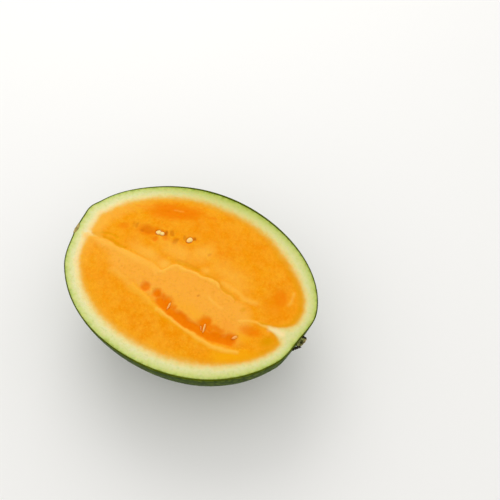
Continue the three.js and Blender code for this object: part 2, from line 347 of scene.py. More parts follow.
# Brown: painted shadow in the slits and beside the seeds, and brown specks and patches
FACE_SPOTS["shadow_and_specks"] = {
    "slit one": (-37.5, 34.1, 5, 3.2, 118, -0.6, 0.45),
    "slit two": (-30.4, 27.6, 5.6, 3, 97, -0.7, 0.47),
    "slit three": (-24.5, 34.5, 4.2, 2.8, 115, -0.5, 0.4),
    "behind first seed": (-42.8, 30.6, 4.4, 3.2, 100, -0.5, 0.75),
    "behind second seed": (-14.6, 39.2, 3.4, 2.8, 100, -0.4, 0.75),
    "long slit": (-73.4, 25.6, 5.4, 3.2, 110, -0.5, 0.36),
    "left of long slit": (-77, 25, 5, 2.2, 118, -0.3, 0.25),
    "torn patch": (-61, 26.5, 11, 7, 12, -0.4, 0.24),
    "patch tail": (-65, 22.4, 4, 3, 0, -0.4, 0.4),
    "heart speck one": (-67, -17.5, 2.4, 1.6, 120, -0.4, 0.25),
    "heart speck two": (-61.5, -21, 2.2, 1.5, 30, -0.3, 0.2),
    "heart speck three": (20.6, -14.8, 2.2, 1.5, 80, -0.4, 0.35),
    "upper speck": (7.1, 28.3, 3, 1.7, 50, -0.4, 0.35),
}
# Zones of paler flesh
FACE_SPOTS["pale"] = {
    "above crest": (-22, 18, 34, 15, -4, 0, 0.45),
    "above band": (-48, 3, 34, 11, -8, 0, 0.5),
    "above heart": (1, 26, 16, 22, -25, 0, 0.4),
    "blossom side": (-86, -22, 15, 16, 0, 0, 0.12),
    "junction": (-28, 0, 12, 9, 0, 0, 0.65),
    "past the crest": (12, 13, 9, 6, 0, 0, 0.5),
    "right of crest": (36, 18, 40, 20, -18, 0, 0.35),
    "left of heart": (-72, -14, 22, 12, -20, 0, 0.15),
    "lower left": (-62, -50, 40, 24, -25, 0, 0.05),
}
# Zones of more golden flesh, and painted shade of the lobe under the stem pith
FACE_SPOTS["gold"] = {
    "heart patch": (63.7, -7, 4.5, 3.5, 60, 0, 0.6),
    # Painted shade of the lobe under the pith
    "by the pith": (99, -25, 12, 9, 60, 0, 1),
}
# Zones of amber flesh along the channel
FACE_SPOTS["amber"] = {
    "above channel": (28, -33, 56, 11, -9, 0, 0.35),
    "below the lip": (76, -52, 36, 10, 26, 0, 0.9),
    "past the channel": (77, -33, 13, 9, 0, 0, 0.6),
}

# %% Seeds and the painted shadow round their sockets
# Place, length, width and thickness in mm, heading in degrees, height of its middle above the
# flesh, and how pale it is
SEEDS = [
    (-50.4, 28.3, 5.2, 4.6, 2.4, 20, 0.5, 1),
    (-46.7, 28.8, 5, 3.9, 2.4, 0, 0.5, 1),
    (-18.6, 34.8, 6.2, 5, 2.6, 60, 0.5, 0.9),
    (0.3, -35.9, 7.6, 1.7, 3.2, 92, 0.3, 0.45),
    (40.7, -40.4, 9, 1.8, 3.4, 104, 0.4, 0.45),
    (38.1, -41.7, 5.4, 1.1, 3, 124, 0, 0.2),
    (70, -35.6, 5.6, 2.6, 3, 49, 0.1, 0.25),
]
# How far the painted shadow round a seed reaches past it in mm, and how strong it is round the palest seed
SOCKET_REACH, SOCKET_STRENGTH = 2.2, 0.65

# %% Height and tints at a place
# The outline of the heart, which stands a little higher and is paler than the flesh round it
HEART_OUTLINE = [
    (-100, -6), (-57, -6), (-27, -8), (-15, 4), (20, 5), (36, 2), (63, -3), (75, -13), (79, -30), (74, -40),
    (47, -46), (4, -41), (-28, -34), (-68, -26), (-82, -16),
]
# Its height, and the reach of its soft edge to either side, in mm
HEART_HEIGHT = 0.9
HEART_SOFTNESS = 5.0
# How far the marks wander off their tidy shapes, over what distance, and patterns along x and y
WANDER = [(1.8, 14.0, 11.5, 47.5), (0.9, 4.5, 12.5, 48.5)]
# The share of a hollow's reach that is its flat floor
HOLLOW_FLOOR = 0.3


def smooth_line(points, closed=False, steps=8):
    """A Catmull-Rom curve through the points, as many short straight steps."""
    ends = (points[-1:], points[:2]) if closed else (points[:1], points[-1:])
    knots = np.array([*ends[0], *points, *ends[1]], float)
    share = np.linspace(0, 1, steps, endpoint=False)[:, None]
    spans = [
        b + 0.5 * share * ((c - a) + share * ((2 * a - 5 * b + 4 * c - d) + share * (3 * b - a - 3 * c + d)))
        for a, b, c, d in zip(knots[:-3], knots[1:-2], knots[2:-1], knots[3:])
    ]
    return np.concatenate([*spans, knots[-2:-1]])


def distance_to(line, places):
    """Distance from each place to the line, and whether the place lies on its +y side."""
    nearest = np.full(len(places), np.inf)
    above = np.zeros(len(places), bool)
    for start, end in zip(line[:-1], line[1:]):
        along = end - start
        share = np.clip(((places - start) @ along) / (along @ along), 0, 1)
        gap = places - start - share[:, None] * along
        far = np.hypot(gap[:, 0], gap[:, 1])
        above = np.where(far < nearest, gap[:, 1] > 0, above)
        nearest = np.minimum(nearest, far)
    return nearest, above


def oval_share(places, x, y, length, width, heading):
    """Distance from the middle of an oval, as a share of its length and width."""
    turn = math.radians(heading)
    away = places - (x, y)
    along = (away[:, 0] * math.cos(turn) + away[:, 1] * math.sin(turn)) / length
    across = (away[:, 1] * math.cos(turn) - away[:, 0] * math.sin(turn)) / width
    return np.hypot(along, across)


def inside_heart(places):
    """1 well inside the heart's outline and 0 outside it, with a soft edge."""
    line = smooth_line(HEART_OUTLINE, closed=True)
    far, _ = distance_to(line, places)
    crossings = np.zeros(len(places), int)
    for (ax, ay), (bx, by) in zip(line[:-1], line[1:]):
        spans = (ay > places[:, 1]) != (by > places[:, 1])
        edge_x = ax + (places[:, 1] - ay) * (bx - ax) / (by - ay if by != ay else 1)
        crossings += spans & (places[:, 0] < edge_x)
    signed = np.where(crossings % 2 == 1, far, -far)
    return 1 - rounded(0.5 + 0.5 * signed / HEART_SOFTNESS)


def fading(share, rise):
    """How strong a mark is at a share of its reach; a hollow stays full over its flat floor."""
    floor = HOLLOW_FLOOR if rise < 0 else 0
    return rounded((share - floor) / (1 - floor))


def face_marks(places):
    """Height in mm and the tints of the cut face at these places."""
    wandered = places.astype(float)
    for reach, size, pattern_x, pattern_y in WANDER:
        wandered[:, 0] += grain(places, reach, size, pattern_x)
        wandered[:, 1] += grain(places, reach, size, pattern_y)
    tints = {"heart": inside_heart(wandered)}
    height = HEART_HEIGHT * tints["heart"]
    marks = []
    for points, rise, reach_up, reach_down, tint, share in FACE_LINES.values():
        far, above = distance_to(smooth_line(points), wandered)
        marks.append((rise, fading(far / np.where(above, reach_up, reach_down), rise), tint, share))
    for tint, group in FACE_SPOTS.items():
        for *oval, rise, share in group.values():
            marks.append((rise, fading(oval_share(wandered, *oval), rise), tint, share))
    # A ring of painted shadow round each seed, in its socket
    for x, y, length, width, _, heading, _, paleness in SEEDS:
        past = length * (oval_share(places, x, y, length, width, heading) - 0.5)
        strength = SOCKET_STRENGTH * (0.5 + 0.5 * paleness)
        marks.append((0.0, rounded(np.abs(past) / SOCKET_REACH), "shadow_and_specks", strength))
    for rise, near, tint, share in marks:
        height = height + rise * near
        tints[tint] = np.maximum(tints.get(tint, 0), share * near)
    return height, tints


# %% [markdown]
# ## The cut face
#
# The cut face is what everyone looks at, so it gets the finest mesh, with rings under a millimetre
# apart. A flat disc with a bump map would do from above, but it would look printed from the side, so
# crest, channel, pockets and slits are real geometry. The knife also wobbles, and torn flesh is
# crumbly, so a little noise is added, more of it where the flesh is torn.

# %% Shape of the cut face
FACE_SECTORS = 480
FACE_RINGS = 148
# The skin: how thick, and where it is thicker: angle in degrees, how much, reach in degrees
SKIN_THICKNESS = 1.15
THICK_SIDES = [(90, 1.1, 65), (-60, 0.35, 60), (175, 0.3, 30)]
# Height, size and pattern of the waves of the knife, the grain of the flesh and that of torn flesh
KNIFE_WOBBLE = (0.22, 34.0, 3.5)
FLESH_GRAIN = (0.05, 1.9, 8.5)
TORN_GRAIN = (0.45, 3.2, 5.5)
# The relief of the face fades out over this depth under the rim, in mm
RIM_BLEND = 6.0
# Every surface stays this far inside the CAD solid, in mm
INSET = 0.07


def near_turn(turns, centre, reach):
    """1 at an angle round the fruit, fading to 0 at its reach in degrees."""
    away = (np.degrees(turns) - centre + 180) % 360 - 180
    return rounded(np.abs(away) / reach)


def by_side(turns, sides):
    """What the sides of the fruit add together: angle in degrees, how much, reach in degrees."""
    return sum(more * near_turn(turns, at, reach) for at, more, reach in sides)


def skin_thickness(turns):
    """How thick the skin is at angles round the fruit."""
    return SKIN_THICKNESS + by_side(turns, THICK_SIDES)


def rim_reach(turns):
    """How far the rim lies from the middle at angles round it, measured straight out from the rim."""
    rim = fruit_surface(turns, np.zeros(1))[0, :, :2]
    tangent = np.roll(rim, -1, axis=0) - np.roll(rim, 1, axis=0)
    return (rim[:, 0] * tangent[:, 1] - rim[:, 1] * tangent[:, 0]) / np.hypot(*tangent.T)


face_turns = turns_round(FACE_SECTORS)
inner_share = 1 - skin_thickness(face_turns) / rim_reach(face_turns)
inner_rim = fruit_surface(face_turns, np.zeros(1))[0, :, :2] * inner_share[:, None]
face_shares = np.linspace(0, 1, FACE_RINGS + 1)[1:]
face_places = (face_shares[:, None, None] * inner_rim).reshape(-1, 2)
face_depth = ((1 - face_shares[:, None]) * rim_reach(face_turns)).reshape(-1)

face_height, face_tints = face_marks(face_places)
face_height += grain(face_places, *KNIFE_WOBBLE)
face_height += grain(face_places, *FLESH_GRAIN)
face_height += face_tints["deep"] * grain(face_places, *TORN_GRAIN)
face_height *= 1 - rounded(face_depth / RIM_BLEND)
face_height = np.minimum(face_height, TOP_LIMIT - INSET)
print("cut face from", face_height.min().round(2), "to", face_height.max().round(2), "mm")

# %% The flesh as a closed piece, with its hidden side under the skin
BODY_RINGS = 14
face_rings = np.concatenate([face_places, face_height[:, None]], axis=1).reshape(FACE_RINGS, FACE_SECTORS, 3)
body_rings = fruit_surface(face_turns, np.linspace(0, FOOT_ANGLE, BODY_RINGS + 1)[1:]) * inner_share[:, None]
flesh = make_piece("flesh", [closed_part(
    np.concatenate([face_rings, body_rings]),
    start=(0, 0, face_rings[0, :, 2].mean()),
    end=(0, 0, body_rings[-1, 0, 2]),
)])

# %% [markdown]
# ## Where rind turns into flesh
#
# The colour of a cut melon depends on how deep under the skin a place lies, so that depth is stored at
# every vertex. The rind is thinner at the stem end, and pale pith reaches in from the stem as a wedge
# and from the blossom as a small notch. Both are made by telling the material that places near them
# lie shallower than they do. The rind is also greener on one side, where the fruit lay in the sun.

# %% Depth under the skin and side of the fruit
RIND_THICKNESS = 13.9
# Where the rind is thinner or thicker, and where greener: angle in degrees, how much, reach in degrees
RIND_SIDES = [(350, -3.2, 60), (43, 1.9, 28), (90, 0.7, 25), (160, 1.7, 35), (265, 0.9, 75)]
GREEN_SIDES = [(15, 0.5, 110), (98, 0.95, 65), (285, 0.15, 70)]
# Pith: line into the flesh, half width at its start and its end, depth it looks like there
STEM_PITH = ([(124, -10), (112, -12.6), (102, -12.1), (92, -12.2), (84, -13)], 27.0, 2.4, 6.5, 15.5)
BLOSSOM_PITH = ([(-126, -6), (-114, -5), (-99, -4)], 18.0, 3.0, 6.0, 16.0)
# How much deeper it looks at the edge of the wedge than along its line, in mm
PITH_EDGE = 6.5
# How fast the wedge narrows, and how late it deepens, on the way in
PITH_NARROWS, PITH_DEEPENS = 2.5, 1.6
# The flesh just inside the rind is golden at the stem end and paler at the blossom end, where
# the rind is creamy too: strength, depth and reach in mm, angle and reach in degrees
FLESH_RINGS = {
    "gold": (0.6, 17.5, 6.0, 0, 95),
    "pale": (0.45, 19.0, 10.0, 172, 50),
    "cream": (0.45, 10.5, 4.5, 190, 60),
}
# Two depths blend over about this many mm, and nothing needs to look deeper than the last number
BLEND_DEPTH = 1.2
DEEPEST = 60.0


def shallower(depth, places, pith):
    """Depth as it looks near a wedge of pith."""
    points, start_width, end_width, start_depth, end_depth = pith
    line = smooth_line(points)
    far, _ = distance_to(line, places)
    share = np.clip((places[:, 0] - line[0, 0]) / (line[-1, 0] - line[0, 0]), 0, 1)
    width = end_width + (start_width - end_width) * (1 - share) ** PITH_NARROWS
    looks = start_depth + (end_depth - start_depth) * share ** PITH_DEEPENS + PITH_EDGE * (far / width) ** 2
    nearer = np.exp(-depth / BLEND_DEPTH) + np.exp(-np.minimum(looks, DEEPEST) / BLEND_DEPTH)
    return np.maximum(-BLEND_DEPTH * np.log(nearer), 0)


place_turns = np.arctan2(face_places[:, 1] / HALF_WIDTH, face_places[:, 0] / HALF_LENGTH)
looks_deep = face_depth * RIND_THICKNESS / (RIND_THICKNESS + by_side(place_turns, RIND_SIDES))
for pith in (STEM_PITH, BLOSSOM_PITH):
    looks_deep = shallower(looks_deep, face_places, pith)
paint(flesh, "depth", looks_deep, rest=DEEPEST)
paint(flesh, "green_side", by_side(place_turns, GREEN_SIDES))
for tint, (share, depth, reach, at, turn_reach) in FLESH_RINGS.items():
    ring = rounded(np.abs(looks_deep - depth) / reach) * near_turn(place_turns, at, turn_reach)
    face_tints[tint] = np.maximum(face_tints[tint], share * ring)
for tint, share in face_tints.items():
    paint(flesh, tint, share)
print("depth as it looks from", looks_deep.min().round(1), "to", looks_deep.max().round(1), "mm")

# %% [markdown]
# ## Flesh and rind
#
# Watermelon flesh is water-filled cells, moist and slightly see-through, so light soaks in a few
# millimetres and comes out warmer: that is subsurface scattering. The rind isn't a separate layer. The
# flesh fades through cream into light green over a bit more than a centimetre, so one material does
# both, with a colour ramp read by depth. Glazes of noise in several sizes then keep it from looking
# like plastic, and heart, torn flesh and fibres get their own tints.

# %% Rind ramp
# Depth under the skin in mm and the colour there, from green rind through cream to orange flesh,
# and the depth of the last
RIND_STOPS = [
    (0, "#a3b150"), (0.9, "#bfca74"), (2.3, "#d2d88a"), (4.5, "#dfdfa0"), (7.5, "#e9e2ac"),
    (9.5, "#efdf9f"), (11.5, "#f2d288"), (13.5, "#f2be5c"), (16, "#f1a82c"), (19, "#f19c0c"),
    (26, "#f29600"),
]
RIND_REACH = 26.0
# How far the rind's edges waver, and the size of the waves, in mm
RIPPLE, RIPPLE_SIZE = 0.9, 5.0
# A noise texture stays mostly between these values
NOISE_LOW, NOISE_HIGH = 0.3, 0.7


def rind_colour(tree, place, depth):
    """Colour by depth under the skin, with edges that waver a little."""
    waves = add(tree, "TexNoise", {"Vector": place, "Scale": 1 / (RIPPLE_SIZE * MM), "Detail": 2.0})
    ripple = add(tree, "MapRange", {
        "Value": waves, "From Min": NOISE_LOW, "From Max": NOISE_HIGH, "To Min": -RIPPLE, "To Max": RIPPLE,
    })
    share = add(tree, "Math", {0: depth, 1: ripple}, operation="ADD")
    share = add(tree, "Math", {0: share, 1: RIND_REACH}, operation="DIVIDE")
    ramp = add(tree, "ValToRGB", {"Fac": share})
    stops = ramp.color_ramp.elements
    while len(stops) < len(RIND_STOPS):
        stops.new(1.0)
    for stop, (depth_here, colour) in zip(stops, RIND_STOPS):
        stop.position = depth_here / RIND_REACH
        stop.color = linear(colour)
    return ramp


# %% Flesh material
# Noise that shows runs over these values: all of it softly, or only its peaks
SOFTLY, PEAKS = (0.38, 0.65), (0.52, 0.74)
# Depths in mm: the green of the rind fades out, and the colours of the flesh begin and are full
GREEN_ENDS, FLESH_BEGINS, FLESH_FULL = 20.0, 13.0, 20.0
# Glazes of noise: tint, size in mm, how it shows and its share
RIND_GLAZES = [("#cfd678", 4.0, SOFTLY, 0.45), ("#a2b850", 3.2, PEAKS, 0.35)]
FLESH_CLOUDS = [("#ee8400", 24.0, SOFTLY, 0.5), ("#f9ae2e", 9.0, SOFTLY, 0.4), ("#fcb224", 3.6, SOFTLY, 0.3)]
FLESH_FLECKS = [("#dd8f10", 2.6, PEAKS, 0.35), ("#ffb828", 1.7, PEAKS, 0.45)]
# The colour of each tint of the face, from the rind in (gold is also painted shade in hollows), then
# torn flesh, painted shadow with brown specks, and pale crests that are partly a painted highlight
FACE_TINTS = {
    "cream": "#fbe0a6", "gold": "#e29800", "amber": "#faac0a", "deep": "#f08000", "shadow_and_specks": "#ba5600",
    "pale": "#fec04e",
}
# The cells are 0.3 to 0.5 mm across, drawn here at over a millimetre so that they show
GRAIN_SIZE, CELL_SIZE = 0.9, 1.3


def make_flesh():
    """Moist flesh and rind, cut with a knife: soft light from inside and only a faint shine."""
    material, tree, place = new_material("knife-cut watermelon flesh and rind")
    depth = add(tree, "Attribute", attribute_name="depth").outputs["Fac"]
    colour = rind_colour(tree, place, depth)
    # The sunny side of the rind is greener, with greener flecks near the skin all round
    near_skin = add(tree, "MapRange", {"Value": depth, "From Max": GREEN_ENDS, "To Min": 1.0, "To Max": 0.0})
    sunny = add(tree, "Attribute", attribute_name="green_side").outputs["Fac"]
    sunny = add(tree, "Math", {0: sunny, 1: near_skin}, operation="MULTIPLY")
    greener = add(tree, "Mix", {0: sunny, 6: colour, 7: linear("#d6dd98")}, data_type="RGBA",
                  blend_type="MULTIPLY")
    colour = greener.outputs[2]
    for glaze in RIND_GLAZES:
        colour = spots(tree, colour, place, *glaze, where=near_skin)
    # Clouds of colour in the flesh, the paler heart, and fine flecks over both
    in_flesh = add(tree, "MapRange", {"Value": depth, "From Min": FLESH_BEGINS, "From Max": FLESH_FULL})
    for glaze in FLESH_CLOUDS:
        colour = spots(tree, colour, place, *glaze, where=in_flesh)
    colour = dyed(tree, colour, "heart", "#f9ad40", share=0.8)
    for glaze in FLESH_FLECKS:
        colour = spots(tree, colour, place, *glaze, where=in_flesh)
    for painted, tint in FACE_TINTS.items():
        colour = dyed(tree, colour, painted, tint)
    grains = add(tree, "TexNoise", {"Vector": place, "Scale": 1 / (GRAIN_SIZE * MM), "Detail": 3.0})
    cells = add(tree, "TexVoronoi", {"Vector": place, "Scale": 1 / (CELL_SIZE * MM)})
    height = add(tree, "Math", {0: grains, 1: cells}, operation="ADD")
    bump = add(tree, "Bump", {"Height": height, "Strength": 0.35, "Distance": 0.3 * MM})
    # Moister where the grain is low
    roughness = add(tree, "MapRange", {
        "Value": grains, "From Min": NOISE_LOW, "From Max": NOISE_HIGH, "To Min": 0.3, "To Max": 0.5,
    })
    surface = add(tree, "BsdfPrincipled", {
        "Base Color": colour, "Roughness": roughness, "IOR": 1.34, "Specular IOR Level": 0.02,
        "Subsurface Weight": 0.25, "Subsurface Radius": (1.0, 0.4, 0.1), "Subsurface Scale": 2.5 * MM,
        "Normal": bump,
    })
    add(tree, "OutputMaterial", {"Surface": surface})
    return material


stand_in(flesh, make_flesh())

# %% [markdown]
# ## The skin
#
# The skin is a waxy dark green layer over a millimetre thick. It could be a colour on the outside of
# the fruit, but then the rim would lack the thin dark line of a real cut. So it is a shell of its own:
# an inside, a narrow cut edge at the top that is rounded off a little, and an outside. The outside of
# a real melon is never quite even, so it gets a slight waviness that fades out at rim and foot.

# %% Shape of the skin
SKIN_SECTORS = 384
SKIN_RINGS = 64
INSIDE_RINGS = 12
# Radius of the rounded edge, and the gap left between skin and flesh, in mm
EDGE_ROUND = 0.4
EDGE_STEPS = 4
SKIN_GAP = 0.02
# Height, size and pattern of the waves, and the share of the way down over which they fade
SKIN_WAVES = (0.25, 26.0, 61.5)
WAVE_FADE = 0.1

skin_turns = turns_round(SKIN_SECTORS)


def skin_layer(under, drops):
    """Rings of points this far under the outside of the fruit."""
    return fruit_surface(skin_turns, np.asarray(drops, float)) * (1 - under / rim_reach(skin_turns))[:, None]


inside = skin_layer(skin_thickness(skin_turns) - SKIN_GAP, np.linspace(FOOT_ANGLE, 0, INSIDE_RINGS))
edge = np.concatenate([
    skin_layer(INSET + EDGE_ROUND * (1 - math.sin(turn)), [EDGE_ROUND * (1 - math.cos(turn)) / DEPTH])
    for turn in np.linspace(0, math.pi / 2, EDGE_STEPS)
])
outside_drops = np.linspace(EDGE_ROUND / DEPTH, FOOT_ANGLE, SKIN_RINGS)[1:]
outside = skin_layer(INSET, outside_drops)
way_down = (outside_drops / FOOT_ANGLE).repeat(SKIN_SECTORS)
wave_share = np.clip(np.minimum(way_down, 1 - way_down) / WAVE_FADE, 0, 1)
# The waves only sink in, so that the skin stays inside the CAD solid
sunk = (SKIN_WAVES[0] - grain(outside.reshape(-1, 3), *SKIN_WAVES)) * wave_share
outside *= (1 - sunk / HALF_WIDTH).reshape(SKIN_RINGS - 1, SKIN_SECTORS, 1)
skin_rings = np.concatenate([inside, edge, outside])
skin = make_piece("skin", [closed_part(
    skin_rings,
    start=(0, 0, inside[0, 0, 2]),
    end=(0, 0, outside[-1, 0, 2]),
)])
paint(skin, "cut_edge", (skin_rings[..., 2] > -EDGE_ROUND / 2).reshape(-1))

# %% [markdown]
# ## Waxy green with a net of dark veins
#
# Up close the skin is medium green with darker veins that join into a net of cells, a few millimetres
# to a centimetre across. The edges of Voronoi cells make such a net, and once the place is shifted by
# noise they no longer look like straight-sided polygons. Two sizes of cells are laid over each other,
# and soft patches of plain green over them hide the net here and there, as the wax does. The wax also
# gives a broad soft shine, and the cut edge is darker, because there the green is seen wet.

# %% Skin material
# How far the veins wander, and over what distance, in mm
VEIN_WANDER, WANDER_SIZE = 9.0, 12.0
# Scale of the net along x, y and z: below 1 the cells are drawn out that way
CELL_STRETCH = (0.7, 1, 1)
# The two nets: tint, size of the cells in mm, width of the veins as a share of it, strength
VEINS = [("#324509", 3.2, 0.4, 0.6), ("#203104", 7.0, 0.3, 0.85)]
# The patches of the ground colour run over these values of the noise
EVENLY = (0.35, 0.65)
DIMPLE_SIZE = 3.0


def make_skin():
    """Waxy watermelon skin, grown smooth: dark green with a broad soft shine."""
    material, tree, place = new_material("waxy watermelon skin")
    shift = add(tree, "TexNoise", {
        "Vector": place, "Scale": 1 / (WANDER_SIZE * MM), "Detail": 6.0, "Roughness": 0.7,
    })
    shift = {0: shift.outputs["Color"], "Scale": VEIN_WANDER * MM}
    shift = add(tree, "VectorMath", shift, operation="SCALE")
    wandered = add(tree, "VectorMath", {0: place, 1: shift}, operation="ADD")
    longer = add(tree, "Mapping", {"Vector": wandered, "Scale": CELL_STRETCH})
    colour = spots(tree, linear("#4a5e0a"), place, "#6b7b1c", size=16.0, shows=EVENLY)
    for veins in VEINS:
        colour = net(tree, colour, longer, *veins)
    colour = spots(tree, colour, place, "#4b6010", size=6.0, shows=SOFTLY, share=0.4)
    colour = dyed(tree, colour, "cut_edge", "#4d5604", share=0.85)
    dimples = add(tree, "TexNoise", {"Vector": place, "Scale": 1 / (DIMPLE_SIZE * MM), "Detail": 3.0})
    bump = add(tree, "Bump", {"Height": dimples, "Strength": 0.2, "Distance": 0.2 * MM})
    surface = add(tree, "BsdfPrincipled", {
        "Base Color": colour, "Roughness": 0.5, "IOR": 1.45, "Specular IOR Level": 0.03, "Normal": bump,
    })
    add(tree, "OutputMaterial", {"Surface": surface})
    return material


stand_in(skin, make_skin())

# %% [markdown]
# ## Unripe seeds
#
# This melon has only a few soft pale seeds, some lying flat in little beds of torn flesh and some seen
# edge on in the channel, where they stick up like thin chips. A stretched ball would look like a bead.
# A seed is flatter, and pointed at one end, so its girth is given along its length.

# %% Shape of the seeds
SEED_SECTORS = 24
SEED_RINGS = 17
# How full the girth of a seed is (1 is an ellipse, less is fuller), and how much blunter one end is
SEED_FULLNESS, SEED_BLUNTNESS = 0.8, 0.25


def seed_part(x, y, length, width, thickness, heading, lift, _):
    """One seed, blunt at one end and pointed at the other, lying in the face."""
    walk = np.linspace(0, math.pi, SEED_RINGS + 2)[1:-1]
    girth = 0.5 * np.sin(walk) ** SEED_FULLNESS * (1 - SEED_BLUNTNESS * np.cos(walk))
    rings = lathed(-0.5 * np.cos(walk), girth, SEED_SECTORS) * (length, width, thickness)
    cos, sin = math.cos(math.radians(heading)), math.sin(math.radians(heading))
    directions = np.array([(cos, sin, 0), (-sin, cos, 0), (0, 0, 1)])
    ground = face_marks(np.array([[x, y]]))[0][0]
    return placed_part(rings, 0.5 * length * TIPS, directions, (x, y, ground + lift))


seeds = make_piece("seeds", [seed_part(*seed) for seed in SEEDS])
points_each = len(seeds.data.vertices) // len(SEEDS)
paint(seeds, "paleness", np.repeat([seed[-1] for seed in SEEDS], points_each))

# %% Seed material


def make_seed():
    """Soft seed coat, still unripe: pale, moist and a little see-through."""
    material, tree, place = new_material("soft unripe seed coat")
    colour = spots(tree, linear("#f09a34"), place, "#f5aa48", size=1.8, shows=SOFTLY)
    colour = dyed(tree, colour, "paleness", "#fddc88", share=0.9)
    surface = add(tree, "BsdfPrincipled", {
        "Base Color": colour, "Roughness": 0.35, "IOR": 1.4, "Specular IOR Level": 0.2,
        "Subsurface Weight": 0.3, "Subsurface Radius": (1.0, 0.6, 0.2), "Subsurface Scale": 1.2 * MM,
    })
    add(tree, "OutputMaterial", {"Surface": surface})
    return material


stand_in(seeds, make_seed())

# %% [markdown]
# ## The stub of the stem
#
# A bit of the dried stem is left where the fruit was picked: a short, oval, woody stub with a torn
# end, and the black shrivelled remains of its collar pressed against the skin beside it, whose black
# also stands for the shade in the crevices between stub and skin. They are only a centimetre across,
# but the eye goes there. The stub is a lathed outline made oval and knocked about by noise, with a
# hollow gnawed into its top, and each bit of collar is a crumpled ball.

# %% Where the stub stands
STEM_TURN = math.radians(-5.0)
STEM_DROP = 5.0


def skin_frame(turn, drop):
    """A place on the skin and its three directions: out from the skin, sideways along the rim, and up."""
    foot = fruit_surface(np.array([turn]), np.array([math.asin(drop / DEPTH)]))[0, 0]
    out = foot / np.array([HALF_LENGTH, HALF_WIDTH, DEPTH]) ** 2
    out /= np.linalg.norm(out)
    side = np.cross((0, 0, 1), out)
    side /= np.linalg.norm(side)
    return foot, np.stack([out, side, np.cross(out, side)])


stem_foot, stem_directions = skin_frame(STEM_TURN, STEM_DROP)

# %% Shape of the stub
STUB_HALF_WIDTH = 4.0
STUB_FLATNESS = 0.82
STUB_SECTORS = 48
# Outline of the stub: distance out from the skin and share of the half width, from root to pith
STUB_OUTLINE = [
    (-5, 1.0), (0, 1.06), (1.2, 0.94), (2.6, 0.86), (3.8, 0.94), (4.4, 1.04), (4.8, 1.0), (4.7, 0.84),
    (4.2, 0.68), (3.5, 0.46), (3.2, 0.2),
]
# Ribs round the stub: how many and how deep, as a share
STUB_RIBS = [(5, 0.1), (3, 0.06)]
# How much further out one side of the torn end reaches, per mm across
STUB_LEAN = 0.03
# Unevenness along the stub in mm and across it as a share, each with its size and pattern
STUB_ALONG, STUB_ACROSS = (0.4, 2.2, 20.5), (0.12, 1.6, 30.5)
# The hollow in its top: place out and sideways, reach and depth in mm
HOLLOW_OUT, HOLLOW_ASIDE, HOLLOW_REACH, HOLLOW_DEPTH = 2.8, -1.6, 3.0, 2.2
# The torn end starts so far out and is reached over so many mm; its dark pith, painted shade at the
# bottom of the cupped end, is this share wide
TORN_START, TORN_FADE, PITH_SHARE = 3.9, 0.8, 0.7

stub_turns = turns_round(STUB_SECTORS)
stub_out, stub_girth = np.array(STUB_OUTLINE).T
stub_girth *= STUB_HALF_WIDTH
ribs = 1 + sum(depth * np.cos(count * stub_turns + count) for count, depth in STUB_RIBS)
stub_points = lathed(stub_out, stub_girth, STUB_SECTORS)
stub_points[..., 1:] *= ribs[:, None] * (1, STUB_FLATNESS)
stub_points = stub_points.reshape(-1, 3)
stub_points[:, 0] *= 1 + STUB_LEAN * stub_points[:, 1]
stub_points[:, 0] += grain(stub_points, *STUB_ALONG)
stub_points[:, 1:] *= 1 + grain(stub_points, *STUB_ACROSS)[:, None]
from_hollow = np.hypot(stub_points[:, 0] - HOLLOW_OUT, stub_points[:, 1] - HOLLOW_ASIDE)
hollow = rounded(from_hollow / HOLLOW_REACH) * (stub_points[:, 2] > 0)
stub_points[:, 2] -= HOLLOW_DEPTH * hollow
stub_ends = np.array([[stub_out[0], 0, 0], [stub_out[-1], 0, 0]])
stub_rings = stub_points.reshape(len(stub_out), STUB_SECTORS, 3)
stub = make_piece("stem_stub", [placed_part(stub_rings, stub_ends, stem_directions, stem_foot)])
# The torn end is tan, partly a painted highlight where it catches the lamp
paint(stub, "torn_end", np.clip((stub_points[:, 0] - TORN_START) / TORN_FADE, 0, 1))
# Painted shade in the hollow and at the bottom of the cupped end
pith_share = (stub_girth < PITH_SHARE * STUB_HALF_WIDTH).repeat(STUB_SECTORS)
paint(stub, "pit", np.maximum(hollow, pith_share), rest=1.0)

# %% Shape of the collar and of the shoulder of the stub
# Lumps of the collar, near black for dried collar and for the shade in the crevices round the stub:
# place out, sideways and up from the foot of the stub, then half sizes, in mm
COLLAR_LUMPS = [
    ((3.6, 4.4, -0.2), (1.4, 1.2, 1.2)), ((1.2, 2.9, 2.2), (0.9, 1, 0.8)),
    ((1.6, 5, -1.4), (1.2, 1.2, 1.6)), ((3.7, -5.3, -1), (1.3, 1.2, 1.3)),
    ((2.4, -7.3, 0), (1.2, 1.5, 1.2)), ((1.2, -9, 0.2), (1.2, 1.7, 1.1)),
    ((0.3, -10.8, 0.2), (0.9, 1.7, 0.8)), ((0.8, 2.6, -3.9), (1.4, 2.4, 1.3)),
    ((0.6, -0.8, -4.3), (1.2, 2, 0.9)), ((0.2, -0.5, 3.5), (0.6, 2, 0.5)),
]
LUMP_RINGS = 14
LUMP_SECTORS = 28
# How deep and how fine the balls are crumpled, as shares of their radius
CRUMPLE = (0.4, 0.8)
# The pattern of the first lump, from which the others count on
COLLAR_PATTERN = 70
# A bit of green stem beside the stub, given like a lump, with its pattern
SHOULDER = ((1.3, -4.6, 0.4), (1.7, 2.2, 1.8), 64.5)


